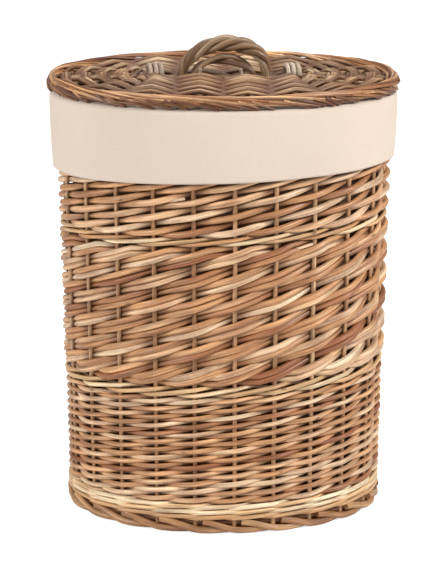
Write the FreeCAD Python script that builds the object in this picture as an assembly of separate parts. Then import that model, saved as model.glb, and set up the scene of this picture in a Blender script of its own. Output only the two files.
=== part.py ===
"""Oval willow laundry hamper with a fabric liner and a lift-off woven lid, in millimetres.

The frame stands on z = 0 with +Z up. X runs along the oval and the front faces -Y.
"""

import FreeCAD, Part
import math
import os
from FreeCAD import Vector

os.makedirs("parts", exist_ok=True)

# The basket wall: an oval that widens evenly from the floor to the rim
FOOT_HALF_LENGTH = 220.5
FOOT_HALF_WIDTH = 165.5
RIM_HALF_LENGTH = 230.0
RIM_HALF_WIDTH = 172.5
WALL_HEIGHT = 582.0
WALL_THICKNESS = 18.0

# Heights of the woven bands: the wall's height less these is left for the upper randing
FOOT_BORDER_HEIGHT = 20.0
UPSETT_HEIGHT = 22.0
LOWER_RANDING_HEIGHT = 152.0
LOWER_RING_HEIGHT = 14.0
MIDDLE_SLEWING_HEIGHT = 194.0
UPPER_RING_HEIGHT = 11.0
RIM_WALE_HEIGHT = 15.0
RIM_BORDER_HEIGHT = 15.0

# Upright stakes that the bands are woven round
STAKE_COUNT = 22
STAKE_DIAMETER = 7.0
STAKE_FOOT_GAP = 4.0
STAKE_RIM_GAP = 8.0
FIRST_STAKE_ANGLE = -86.0

# The basket's base, a flat oval weave on two sets of sticks
BASE_LEDGE = 8.0
BASE_UNDERSIDE = 12.0
BASE_WEAVE_COVER = 3.0
BASE_LONG_STICK_DIAMETER = 6.0
BASE_LONG_STICK_PITCH = 14.0
BASE_LONG_STICK_COUNT = 3
BASE_CROSS_STICK_DIAMETER = 10.0
BASE_CROSS_STICK_PITCH = 62.0
BASE_CROSS_STICK_COUNT = 5
BASE_END_STICK_DIAMETER = 6.0
BASE_END_STICK_FAN = 32.0
BASE_STICK_END_GAP = 6.0

# The fabric liner: a bag inside the basket that folds over the rim into a cuff
FABRIC_THICKNESS = 1.5
BAG_GAP = 3.0
CUFF_DROP = 94.0
CUFF_HEM_GAP = 2.9
CUFF_TOP_GAP = 4.4

# The lid: a flat oval weave inside a raised border
LID_OVERHANG_LENGTH = 10.0
LID_OVERHANG_WIDTH = 7.5
LID_BORDER_WIDTH = 15.0
LID_BORDER_HEIGHT = 27.0
LID_WEAVE_RISE = 7.0
LID_WEAVE_COVER = 2.5
LID_LONG_STICK_DIAMETER = 5.0
LID_LONG_STICK_PITCH = 8.0
LID_LONG_STICK_COUNT = 3
LID_CROSS_STICK_DIAMETER = 9.0
LID_CROSS_STICK_PITCH = 62.0
LID_CROSS_STICK_COUNT = 4
LID_END_STICK_DIAMETER = 6.0
LID_END_STICK_INNER_FAN = 20.0
LID_END_STICK_OUTER_FAN = 44.0
LID_STICK_END_GAP = 6.0

# Room between a fanned end stick's inner end and the sticks beside it
END_STICK_GAP = 3.0

# The twisted handle: an arch of rods side by side, their ends set into the lid weave
HANDLE_FOOT_SPAN = 122.0
HANDLE_RISE = 52.0
HANDLE_ROD_DIAMETER = 9.0
HANDLE_ROD_GAP = 0.3
HANDLE_SOCKET_FLOOR = 2.0

# Lashings round the long sticks at the outermost cross sticks
LASHING_ROD_DIAMETER = 5.0
LASHING_HALF_SPAN = 14.0
LASHING_SOCKET_FLOOR = 0.6

# Clearances between pieces
FIT_CLEARANCE = 0.2
BODY_CLEARANCE = 0.3

# How far a cutting shape runs past the piece that it cuts
OVERRUN = 5.0

UP = Vector(0, 0, 1)
ACROSS = Vector(0, 1, 0)


def write(shape, node):
    """Write one sub-part and report its volume."""
    shape.exportStep("parts/" + node + ".step")
    print(node, len(shape.Solids), "solid, volume", round(shape.Volume))


def wall_oval(z, inward=0.0):
    """Half length and half width of the wall's outer oval at a height, less an inward offset."""
    share = z / WALL_HEIGHT
    half_length = FOOT_HALF_LENGTH + (RIM_HALF_LENGTH - FOOT_HALF_LENGTH) * share
    half_width = FOOT_HALF_WIDTH + (RIM_HALF_WIDTH - FOOT_HALF_WIDTH) * share
    return half_length - inward, half_width - inward


def oval_wire(halves, z):
    """A level ellipse, longer along X, as a wire."""
    edge = Part.Ellipse(Vector(0, 0, z), halves[0], halves[1]).toShape()
    return Part.Wire([edge])


def oval_plate(halves, bottom, top):
    """A straight-sided oval plate."""
    return Part.Face(oval_wire(halves, bottom)).extrude(UP * (top - bottom))


def tapered_oval(bottom_halves, top_halves, bottom, top):
    """A solid between two ellipses, with straight sides."""
    wires = [oval_wire(bottom_halves, bottom), oval_wire(top_halves, top)]
    return Part.makeLoft(wires, True, True)


def wall_solid(bottom, top, inward=0.0):
    """The part of the wall's taper between two heights, less an inward offset, solid inside."""
    return tapered_oval(wall_oval(bottom, inward), wall_oval(top, inward), bottom, top)


def wall_band(bottom, top):
    """One woven band of the wall, as a tapered oval ring."""
    hollow = wall_solid(bottom - OVERRUN, top + OVERRUN, WALL_THICKNESS)
    return wall_solid(bottom, top).cut(hollow)


def evenly_spaced_angles(count, halves, first_angle):
    """Ellipse angles in degrees that divide the oval into equal lengths of wall."""
    fine_steps = 7200
    step = 2 * math.pi / fine_steps
    start = math.radians(first_angle)
    lengths = [0.0]
    for index in range(fine_steps):
        angle = start + (index + 0.5) * step
        along = math.hypot(halves[0] * math.sin(angle), halves[1] * math.cos(angle))
        lengths.append(lengths[-1] + along * step)
    angles = []
    index = 0
    for number in range(count):
        wanted = lengths[-1] * number / count
        while lengths[index] < wanted:
            index += 1
        angles.append(first_angle + math.degrees(index * step))
    return angles


def point_on_oval(halves, angle, z):
    """The point of an ellipse at an ellipse angle in degrees."""
    turn = math.radians(angle)
    return Vector(halves[0] * math.cos(turn), halves[1] * math.sin(turn), z)


def rod(start, end, diameter):
    """A straight round rod between two points."""
    run = end.sub(start)
    return Part.makeCylinder(diameter / 2, run.Length, start, run)


def sloped_stake(angle, bottom, top, diameter):
    """A rod that follows the middle of the wall's thickness from one height to another."""
    start = point_on_oval(wall_oval(bottom, WALL_THICKNESS / 2), angle, bottom)
    end = point_on_oval(wall_oval(top, WALL_THICKNESS / 2), angle, top)
    return rod(start, end, diameter)


def oval_reach(halves, offset):
    """Half the length of an oval's chord that runs along X at this distance from the middle."""
    return halves[0] * math.sqrt(1 - (offset / halves[1]) ** 2)


def oval_reach_across(halves, offset):
    """Half the length of an oval's chord that runs along Y at this distance from the middle."""
    return halves[1] * math.sqrt(1 - (offset / halves[0]) ** 2)


def centred_places(count, pitch):
    """Evenly pitched places on both sides of zero."""
    return [(number - (count - 1) / 2) * pitch for number in range(count)]


def stick_along(y, z, reach, diameter):
    """A stick along X, centred on the middle of the oval."""
    return rod(Vector(-reach, y, z), Vector(reach, y, z), diameter)


def stick_across(x, z, reach, diameter):
    """A stick along Y, centred on the middle of the oval."""
    return rod(Vector(x, -reach, z), Vector(x, reach, z), diameter)


def fanned_end_sticks(last_cross, last_long, halves, z, fans, diameter):
    """Sticks that fan out past the last cross stick at both ends of an oval, and their holes.

    last_cross and last_long are the outer faces of the sticks that they start beside, and
    fans the ellipse angles in degrees that they point to, from the long axis outwards.
    """
    sticks = []
    holes = []
    spacing = diameter + END_STICK_GAP
    for end in (-1, 1):
        for side in (-1, 1):
            for rank, fan in enumerate(fans):
                out = last_cross + spacing
                beside = last_long + spacing * (rank + 0.5) + END_STICK_GAP
                start = Vector(end * out, side * beside, z)
                tip = point_on_oval(halves, fan, z)
                tip = Vector(end * tip.x, side * tip.y, z)
                slack = tip.sub(start).normalize() * FIT_CLEARANCE
                sticks.append(rod(start, tip, diameter))
                holes.append(rod(start.sub(slack), tip.add(slack), diameter + 2 * FIT_CLEARANCE))
    return sticks, holes


def arch(middle, radius, diameter, start_angle):
    """A round rod bent to a circle in the XZ plane, from one foot over the top to the other."""
    lean = math.radians(start_angle)
    foot = middle.add(Vector(-radius * math.cos(lean), 0, radius * math.sin(lean)))
    heading = Vector(math.sin(lean), 0, math.cos(lean))
    section = Part.Face(Part.Wire([Part.Circle(foot, heading, diameter / 2).toShape()]))
    return section.revolve(middle, ACROSS, 180 - 2 * start_angle)


def loop_across(x, y, z, radius, diameter):
    """Half a ring that stands on the lid weave and spans along Y."""
    foot = Vector(x, y - radius, z)
    section = Part.Face(Part.Wire([Part.Circle(foot, UP, diameter / 2).toShape()]))
    return section.revolve(Vector(x, y, z), Vector(-1, 0, 0), 180)


# ---- The stakes and the woven bands that they hold ----

stake_bottom = STAKE_FOOT_GAP
stake_top = WALL_HEIGHT - STAKE_RIM_GAP
stake_angles = evenly_spaced_angles(
    STAKE_COUNT, wall_oval(WALL_HEIGHT / 2, WALL_THICKNESS / 2), FIRST_STAKE_ANGLE
)
stake_channels = []
for number, angle in enumerate(stake_angles, start=1):
    stake = sloped_stake(angle, stake_bottom, stake_top, STAKE_DIAMETER)
    write(stake, "side_stake_%02d" % number)
    channel_diameter = STAKE_DIAMETER + 2 * FIT_CLEARANCE
    stake_channels.append(
        sloped_stake(
            angle, stake_bottom - FIT_CLEARANCE, stake_top + FIT_CLEARANCE, channel_diameter
        )
    )

other_bands_height = (
    FOOT_BORDER_HEIGHT + UPSETT_HEIGHT + LOWER_RANDING_HEIGHT + LOWER_RING_HEIGHT
    + MIDDLE_SLEWING_HEIGHT + UPPER_RING_HEIGHT + RIM_WALE_HEIGHT + RIM_BORDER_HEIGHT
)
bands = [
    ("upsett_wale", UPSETT_HEIGHT),
    ("lower_randing", LOWER_RANDING_HEIGHT),
    ("lower_ring_wale", LOWER_RING_HEIGHT),
    ("middle_slewing", MIDDLE_SLEWING_HEIGHT),
    ("upper_ring_wale", UPPER_RING_HEIGHT),
    ("upper_randing", WALL_HEIGHT - other_bands_height),
    ("rim_wale", RIM_WALE_HEIGHT),
    ("rim_border", RIM_BORDER_HEIGHT),
]
band_bottom = FOOT_BORDER_HEIGHT
for node, height in bands:
    write(wall_band(band_bottom, band_bottom + height).cut(stake_channels), node)
    band_bottom += height

# The foot border has a ledge inside that carries the base
base_halves = wall_oval(BASE_UNDERSIDE, WALL_THICKNESS + FIT_CLEARANCE)
ledge_halves = wall_oval(0, WALL_THICKNESS + BASE_LEDGE)
foot_border = wall_solid(0, FOOT_BORDER_HEIGHT)
foot_border = foot_border.cut(oval_plate(ledge_halves, -OVERRUN, FOOT_BORDER_HEIGHT + OVERRUN))
base_seat = wall_solid(BASE_UNDERSIDE, FOOT_BORDER_HEIGHT + OVERRUN, WALL_THICKNESS)
write(foot_border.cut([base_seat] + stake_channels), "foot_border")

# ---- The base ----

base_thickness = BASE_CROSS_STICK_DIAMETER + 2 * BASE_WEAVE_COVER
base_top = BASE_UNDERSIDE + base_thickness
base_middle = BASE_UNDERSIDE + base_thickness / 2
base_stick_halves = (base_halves[0] - BASE_STICK_END_GAP, base_halves[1] - BASE_STICK_END_GAP)
base_weave = oval_plate(base_halves, BASE_UNDERSIDE, base_top)

long_holes = []
for number, y in enumerate(centred_places(BASE_LONG_STICK_COUNT, BASE_LONG_STICK_PITCH), start=1):
    reach = oval_reach(base_stick_halves, y)
    write(
        stick_along(y, base_middle, reach, BASE_LONG_STICK_DIAMETER),
        "base_long_stick_%d" % number,
    )
    hole_diameter = BASE_LONG_STICK_DIAMETER + 2 * FIT_CLEARANCE
    long_holes.append(stick_along(y, base_middle, reach + FIT_CLEARANCE, hole_diameter))

cross_holes = []
for number, x in enumerate(centred_places(BASE_CROSS_STICK_COUNT, BASE_CROSS_STICK_PITCH), start=1):
    reach = oval_reach_across(base_stick_halves, x)
    stick = stick_across(x, base_middle, reach, BASE_CROSS_STICK_DIAMETER)
    write(stick.cut(long_holes), "base_cross_stick_%d" % number)
    hole_diameter = BASE_CROSS_STICK_DIAMETER + 2 * FIT_CLEARANCE
    cross_holes.append(stick_across(x, base_middle, reach + FIT_CLEARANCE, hole_diameter))

end_sticks, end_holes = fanned_end_sticks(
    (BASE_CROSS_STICK_COUNT - 1) / 2 * BASE_CROSS_STICK_PITCH + BASE_CROSS_STICK_DIAMETER / 2,
    (BASE_LONG_STICK_COUNT - 1) / 2 * BASE_LONG_STICK_PITCH + BASE_LONG_STICK_DIAMETER / 2,
    base_stick_halves,
    base_middle,
    [BASE_END_STICK_FAN],
    BASE_END_STICK_DIAMETER,
)
write(Part.makeCompound(end_sticks), "base_end_sticks")
write(base_weave.cut(long_holes + cross_holes + end_holes), "base_weave")

# ---- The liner ----

bag_outer_inset = WALL_THICKNESS + BAG_GAP
bag_inner_inset = bag_outer_inset + FABRIC_THICKNESS
fold_underside = WALL_HEIGHT + BODY_CLEARANCE
fold_top = fold_underside + FABRIC_THICKNESS
liner_bottom_underside = base_top + BODY_CLEARANCE
liner_bottom_top = liner_bottom_underside + FABRIC_THICKNESS

bag_foot_halves = wall_oval(liner_bottom_underside, bag_outer_inset)
write(oval_plate(bag_foot_halves, liner_bottom_underside, liner_bottom_top), "liner_bottom")

bag = wall_solid(liner_bottom_top, fold_underside, bag_outer_inset)
bag_hollow = wall_solid(liner_bottom_top - OVERRUN, fold_top + OVERRUN, bag_inner_inset)
write(bag.cut(bag_hollow), "liner_bag")

hem_height = WALL_HEIGHT - CUFF_DROP
hem_inner = wall_oval(WALL_HEIGHT, -CUFF_HEM_GAP + FABRIC_THICKNESS)
hem_outer = wall_oval(WALL_HEIGHT, -CUFF_HEM_GAP)
top_inner = wall_oval(WALL_HEIGHT, -CUFF_TOP_GAP)
top_outer = wall_oval(WALL_HEIGHT, -CUFF_TOP_GAP - FABRIC_THICKNESS)
cuff = tapered_oval(hem_outer, top_outer, hem_height, fold_top)
cuff_hollow = tapered_oval(hem_inner, top_inner, hem_height, fold_underside)
write(cuff.cut([cuff_hollow, bag_hollow]), "liner_cuff")

# ---- The lid ----

lid_underside = fold_top + BODY_CLEARANCE
lid_halves = (RIM_HALF_LENGTH + LID_OVERHANG_LENGTH, RIM_HALF_WIDTH + LID_OVERHANG_WIDTH)
border_inner = (lid_halves[0] - LID_BORDER_WIDTH, lid_halves[1] - LID_BORDER_WIDTH)
weave_halves = (border_inner[0] - FIT_CLEARANCE, border_inner[1] - FIT_CLEARANCE)
stick_end_halves = (weave_halves[0] - LID_STICK_END_GAP, weave_halves[1] - LID_STICK_END_GAP)
weave_underside = lid_underside + LID_WEAVE_RISE
weave_thickness = LID_CROSS_STICK_DIAMETER + 2 * LID_WEAVE_COVER
weave_top = weave_underside + weave_thickness
weave_middle = weave_underside + weave_thickness / 2

lid_border = oval_plate(lid_halves, lid_underside, lid_underside + LID_BORDER_HEIGHT)
lid_border = lid_border.cut(
    oval_plate(border_inner, lid_underside - OVERRUN, lid_underside + LID_BORDER_HEIGHT + OVERRUN)
)
write(lid_border, "lid_border")
lid_weave = oval_plate(weave_halves, weave_underside, weave_top)

lid_long_holes = []
for number, y in enumerate(centred_places(LID_LONG_STICK_COUNT, LID_LONG_STICK_PITCH), start=1):
    reach = oval_reach(stick_end_halves, y)
    write(
        stick_along(y, weave_middle, reach, LID_LONG_STICK_DIAMETER),
        "lid_long_stick_%d" % number,
    )
    hole_diameter = LID_LONG_STICK_DIAMETER + 2 * FIT_CLEARANCE
    lid_long_holes.append(stick_along(y, weave_middle, reach + FIT_CLEARANCE, hole_diameter))

lid_cross_places = centred_places(LID_CROSS_STICK_COUNT, LID_CROSS_STICK_PITCH)
lid_cross_holes = []
for number, x in enumerate(lid_cross_places, start=1):
    reach = oval_reach_across(stick_end_halves, x)
    stick = stick_across(x, weave_middle, reach, LID_CROSS_STICK_DIAMETER)
    write(stick.cut(lid_long_holes), "lid_cross_stick_%d" % number)
    hole_diameter = LID_CROSS_STICK_DIAMETER + 2 * FIT_CLEARANCE
    lid_cross_holes.append(stick_across(x, weave_middle, reach + FIT_CLEARANCE, hole_diameter))

lid_end_sticks, lid_end_holes = fanned_end_sticks(
    lid_cross_places[-1] + LID_CROSS_STICK_DIAMETER / 2,
    (LID_LONG_STICK_COUNT - 1) / 2 * LID_LONG_STICK_PITCH + LID_LONG_STICK_DIAMETER / 2,
    stick_end_halves,
    weave_middle,
    [LID_END_STICK_INNER_FAN, LID_END_STICK_OUTER_FAN],
    LID_END_STICK_DIAMETER,
)
write(Part.makeCompound(lid_end_sticks), "lid_end_sticks")

# ---- The handle: two rods side by side with a third on top of them ----

rod_pitch = HANDLE_ROD_DIAMETER + HANDLE_ROD_GAP
crown_radius = HANDLE_ROD_DIAMETER / 2
row_height = rod_pitch * math.sqrt(3) / 2
crown_rise = HANDLE_RISE - crown_radius
half_span = HANDLE_FOOT_SPAN / 2
upper_radius = (half_span ** 2 + crown_rise ** 2) / (2 * crown_rise)
arch_middle_height = weave_top + crown_rise - upper_radius
socket_floor = weave_middle + LID_LONG_STICK_DIAMETER / 2 + HANDLE_SOCKET_FLOOR
handle_rods = [
    ("handle_strand_1", -rod_pitch / 2, upper_radius - row_height),
    ("handle_strand_2", rod_pitch / 2, upper_radius - row_height),
    ("handle_strand_3", 0.0, upper_radius),
]
lid_sockets = []
for node, y, radius in handle_rods:
    middle = Vector(0, y, arch_middle_height)
    start_angle = math.degrees(math.asin((socket_floor - arch_middle_height) / radius))
    write(arch(middle, radius, HANDLE_ROD_DIAMETER, start_angle), node)
    socket_start = math.degrees(
        math.asin((socket_floor - FIT_CLEARANCE - arch_middle_height) / radius)
    )
    socket_diameter = HANDLE_ROD_DIAMETER + 2 * FIT_CLEARANCE
    lid_sockets.append(arch(middle, radius, socket_diameter, socket_start))

# ---- The lashings over the outermost cross sticks ----

lashing_foot = weave_middle + LID_CROSS_STICK_DIAMETER / 2 + LASHING_SOCKET_FLOOR
for node, x in [("lashing_left", lid_cross_places[0]), ("lashing_right", lid_cross_places[-1])]:
    write(loop_across(x, 0, lashing_foot, LASHING_HALF_SPAN, LASHING_ROD_DIAMETER), node)
    socket_diameter = LASHING_ROD_DIAMETER + 2 * FIT_CLEARANCE
    lid_sockets.append(
        loop_across(x, 0, lashing_foot - FIT_CLEARANCE, LASHING_HALF_SPAN, socket_diameter)
    )

lid_holes = lid_long_holes + lid_cross_holes + lid_end_holes + lid_sockets
write(lid_weave.cut(lid_holes), "lid_weave")
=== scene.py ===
# %% [markdown]
# # An oval willow hamper with a cotton liner and a lift-off lid
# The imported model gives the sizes: where each band of weave begins and ends, where the sticks are
# and which pieces move together. This lesson turns those plain solids into woven rods and sewn
# cloth, piece by piece, without moving anything that the model has fixed.

# %% Load the frame
import math
import random

import bmesh
import bpy
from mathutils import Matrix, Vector, noise


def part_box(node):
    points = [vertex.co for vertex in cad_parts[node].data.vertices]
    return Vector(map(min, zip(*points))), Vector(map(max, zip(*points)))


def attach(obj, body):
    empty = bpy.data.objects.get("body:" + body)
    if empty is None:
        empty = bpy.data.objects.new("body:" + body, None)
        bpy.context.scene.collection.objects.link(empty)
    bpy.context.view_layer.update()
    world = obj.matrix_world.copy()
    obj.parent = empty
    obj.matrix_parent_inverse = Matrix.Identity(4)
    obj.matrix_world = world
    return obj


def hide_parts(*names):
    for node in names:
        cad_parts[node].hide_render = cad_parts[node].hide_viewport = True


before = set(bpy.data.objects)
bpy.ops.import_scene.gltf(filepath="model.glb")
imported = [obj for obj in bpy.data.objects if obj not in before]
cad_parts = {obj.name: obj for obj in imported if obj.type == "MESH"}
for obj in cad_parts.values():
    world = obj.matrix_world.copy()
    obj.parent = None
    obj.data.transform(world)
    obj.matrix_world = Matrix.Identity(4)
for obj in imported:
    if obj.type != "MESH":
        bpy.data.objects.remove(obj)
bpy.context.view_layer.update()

# %% [markdown]
# ## The camera
# A long lens from three metres away keeps the hamper's sides nearly parallel. The camera looks down
# by about fifteen degrees, so the lid shows as a thin oval and the foot as a shallow curve.

# %% The camera
CAMERA_FOCUS = Vector((-0.0046, 0.0, 0.3017))
CAMERA_DISTANCE = 3.0
CAMERA_DIP = math.radians(14.87)
CAMERA_LENS = 134.33

camera_data = bpy.data.cameras.new("camera")
camera_data.lens = CAMERA_LENS
camera = bpy.data.objects.new("camera", camera_data)
back = Vector((0, -math.cos(CAMERA_DIP), math.sin(CAMERA_DIP)))
camera.location = CAMERA_FOCUS + back * CAMERA_DISTANCE
camera.rotation_euler = (math.pi / 2 - CAMERA_DIP, 0, 0)
bpy.context.scene.collection.objects.link(camera)
bpy.context.scene.camera = camera

# %% [markdown]
# ## Places on the wall
# The wall is an oval that widens evenly from foot to rim. A weaver counts in stakes, so a place on
# the wall is given here by how many stakes round it is, how high, and how far out from the middle
# of the wall's thickness. Whole numbers fall on the stakes that the frame holds.

# %% The wall's oval and its stakes
WALL_THICKNESS = 0.018

foot_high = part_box("foot_border")[1]
rim_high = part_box("rim_border")[1]


def wall_halves(z, inward=0.0):
    """Half length and half width of the wall's outer oval at a height, less an inward offset."""
    halves = foot_high.lerp(rim_high, (z - foot_high.z) / (rim_high.z - foot_high.z))
    return halves.x - inward, halves.y - inward


def node_middle(node):
    """The middle of a node's box."""
    low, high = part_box(node)
    return (low + high) / 2


stake_nodes = sorted(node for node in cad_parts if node.startswith("side_stake"))
STAKES = len(stake_nodes)
stake_angles = []
for node in stake_nodes:
    middle = node_middle(node)
    halves = wall_halves(middle.z, WALL_THICKNESS / 2)
    angle = math.atan2(middle.y / halves[1], middle.x / halves[0])
    if stake_angles and angle < stake_angles[0]:
        angle += 2 * math.pi
    stake_angles.append(angle)
stake_angles.append(stake_angles[0] + 2 * math.pi)


def angle_at(stake):
    """The oval's angle at a place counted in stakes round the wall, to the right from the front."""
    turns, rest = divmod(stake, STAKES)
    index = int(rest)
    here, after = stake_angles[index], stake_angles[index + 1]
    return 2 * math.pi * turns + here + (after - here) * (rest - index)


def on_wall(stake, z, out):
    """A point of the wall: its place in stakes, its height, and how far out from mid-thickness."""
    half_length, half_width = wall_halves(z, WALL_THICKNESS / 2)
    cosine, sine = math.cos(angle_at(stake)), math.sin(angle_at(stake))
    outward = Vector((half_width * cosine, half_length * sine, 0)).normalized()
    return Vector((half_length * cosine, half_width * sine, z)) + outward * out


print(STAKES, "stakes stand", round((on_wall(1, 0.3, 0) - on_wall(0, 0.3, 0)).length, 4), "m apart")

# %% [markdown]
# The bands of this hamper aren't quite level. They climb a little to the right, while the foot and
# the lid stay flat, as happens when one side of a hand-woven wall is beaten down harder.

# %% The lean of the bands
BAND_LEAN = 0.033
LEAN_STARTS = 0.17
LEAN_ENDS = 0.06


def lean(x, z):
    """How far the weave is lifted at a place, fading out towards the foot and the rim."""
    from_foot = min(1.0, z / LEAN_STARTS)
    from_rim = min(1.0, max(0.0, (rim_high.z - z) / LEAN_ENDS))
    return BAND_LEAN * x * from_foot * from_rim


# %% [markdown]
# ## The willow finish
# Peeled and steamed willow is a satin wood with fine fibres along the rod, cloudy patches, and a
# small dark bud scar every few centimetres. No two rods are alike, so each rod carries a number,
# its tone, that picks its colour between a dark, a middle and a light shade. The pattern itself is
# one node group, because every rod material needs it with its own shades.

# %% Helpers for node trees
def add_node(tree, kind, inputs=(), **settings):
    """A node with its settings, its sockets linked to other sockets or given values."""
    node = tree.nodes.new(kind)
    for name, value in settings.items():
        setattr(node, name, value)
    for name, value in dict(inputs).items():
        if isinstance(value, bpy.types.NodeSocket):
            tree.links.new(value, node.inputs[name])
        else:
            node.inputs[name].default_value = value
    return node


def blend_colours(tree, share, first, second, blend_type="MIX"):
    """A mix of two colours, as an output socket."""
    node = add_node(tree, "ShaderNodeMix", data_type="RGBA", blend_type=blend_type)
    for index, value in ((0, share), (6, first), (7, second)):
        if isinstance(value, bpy.types.NodeSocket):
            tree.links.new(value, node.inputs[index])
        else:
            node.inputs[index].default_value = value
    return node.outputs[2]


def in_range(tree, value, low, high, to_low=0.0, to_high=1.0):
    """A value brought from one range to another and kept within it."""
    node = add_node(
        tree,
        "ShaderNodeMapRange",
        {"Value": value, "From Min": low, "From Max": high, "To Min": to_low, "To Max": to_high},
    )
    return node.outputs["Result"]


def calculate(tree, operation, first, second):
    """One sum of two values, as an output socket."""
    node = add_node(tree, "ShaderNodeMath", {0: first, 1: second}, operation=operation)
    return node.outputs[0]


def stretched(tree, place, scale, shift=(0, 0, 0)):
    """A place in the pattern scaled along its three directions and moved."""
    node = add_node(
        tree, "ShaderNodeVectorMath", {0: place, 1: scale, 2: shift}, operation="MULTIPLY_ADD"
    )
    return node.outputs[0]


def cloud(tree, place, detail=2.0):
    """Soft noise, as a value."""
    node = add_node(tree, "ShaderNodeTexNoise", {"Vector": place, "Scale": 1.0, "Detail": detail})
    return node.outputs["Fac"]


def new_group(name, inputs, outputs):
    """An empty node group with named inputs and outputs, and its two end nodes."""
    group = bpy.data.node_groups.new(name, "ShaderNodeTree")
    for label, kind in inputs:
        group.interface.new_socket(name=label, in_out="INPUT", socket_type="NodeSocket" + kind)
    for label, kind in outputs:
        group.interface.new_socket(name=label, in_out="OUTPUT", socket_type="NodeSocket" + kind)
    return group, group.nodes.new("NodeGroupInput"), group.nodes.new("NodeGroupOutput")


# %% The willow pattern
FIBRE_SCALE = (16.0, 340.0, 340.0)
PATCH_SCALE = (22.0, 70.0, 70.0)
SCAR_SCALE = (20.0, 40.0, 40.0)
ROD_SHIFT = (40.0, 40.0, 40.0)
SCAR_EDGE, SCAR_HEART = 0.10, 0.05
SCAR_BROWN = (0.06, 0.03, 0.015, 1)
SCAR_SHARE = 0.7
PATCH_SHARE = 0.55
STREAK_DARK, STREAK_LIGHT = 0.55, 1.3
# Painted shade: the brown that rods deep in the weave are darkened towards, and how far.
PAINTED_SHADE_BROWN = (0.12, 0.038, 0.009, 1)
PAINTED_SHADE_SHARE = 0.82

willow_group, given, result = new_group(
    "willow_bark",
    [("Place", "Vector"), ("Tone", "Float"), ("Painted Shade", "Float"),
     ("Dark", "Color"), ("Middle", "Color"), ("Light", "Color")],
    [("Color", "Color"), ("Roughness", "Float"), ("Height", "Float")],
)
place, tone = given.outputs["Place"], given.outputs["Tone"]
lucky = add_node(willow_group, "ShaderNodeTexWhiteNoise", {"W": tone}, noise_dimensions="1D")
shift = stretched(willow_group, lucky.outputs["Color"], ROD_SHIFT)
fibre = cloud(willow_group, stretched(willow_group, place, FIBRE_SCALE, shift), 3.0)
patch = cloud(willow_group, stretched(willow_group, place, PATCH_SCALE, shift), 2.0)
scar_place = stretched(willow_group, place, SCAR_SCALE, shift)
scar_cells = add_node(willow_group, "ShaderNodeTexVoronoi", {"Vector": scar_place, "Scale": 1.0})
scar = in_range(willow_group, scar_cells.outputs["Distance"], SCAR_EDGE, SCAR_HEART)

to_middle = in_range(willow_group, tone, 0.0, 0.5)
to_light = in_range(willow_group, tone, 0.5, 1.0)
shade = blend_colours(willow_group, to_middle, given.outputs["Dark"], given.outputs["Middle"])
shade = blend_colours(willow_group, to_light, shade, given.outputs["Light"])
patchy = in_range(willow_group, patch, 0.42, 0.62, 0.0, PATCH_SHARE)
stained = blend_colours(willow_group, patchy, shade, given.outputs["Dark"])
streak = in_range(willow_group, fibre, 0.34, 0.66, STREAK_DARK, STREAK_LIGHT)
streaked = blend_colours(willow_group, 1.0, stained, streak, "MULTIPLY")
scar_dark = in_range(willow_group, scar, 0.0, 1.0, 0.0, SCAR_SHARE)
scarred = blend_colours(willow_group, scar_dark, streaked, SCAR_BROWN)
# Painted shade: the colour is darkened towards a deep brown where the rod lies deep in the weave.
painted_shade_amount = calculate(willow_group, "MULTIPLY", given.outputs["Painted Shade"], PAINTED_SHADE_SHARE)
willow_group.links.new(blend_colours(willow_group, painted_shade_amount, scarred, PAINTED_SHADE_BROWN), result.inputs["Color"])
willow_group.links.new(in_range(willow_group, patch, 0.3, 0.7, 0.34, 0.56), result.inputs["Roughness"])
relief = calculate(willow_group, "ADD", fibre, calculate(willow_group, "MULTIPLY", scar, 0.8))
willow_group.links.new(relief, result.inputs["Height"])
print("the willow pattern has", len(willow_group.nodes), "nodes")

# %% [markdown]
# Each willow material places that group with its own three shades. On woven rods the place comes
# from their UV map, whose two directions are metres along and round the rod. On the sticks that
# come straight from the frame it comes from Object coordinates, turned so that the fibres follow
# the stick.

# %% Willow materials
BUMP_DEPTH = 0.0009
BUMP_STRENGTH = 0.55


def colour(red, green, blue):
    """A screen colour in 0-255 numbers as the light values that a shader needs."""
    return tuple(((part / 255 + 0.055) / 1.055) ** 2.4 for part in (red, green, blue)) + (1.0,)


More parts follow.
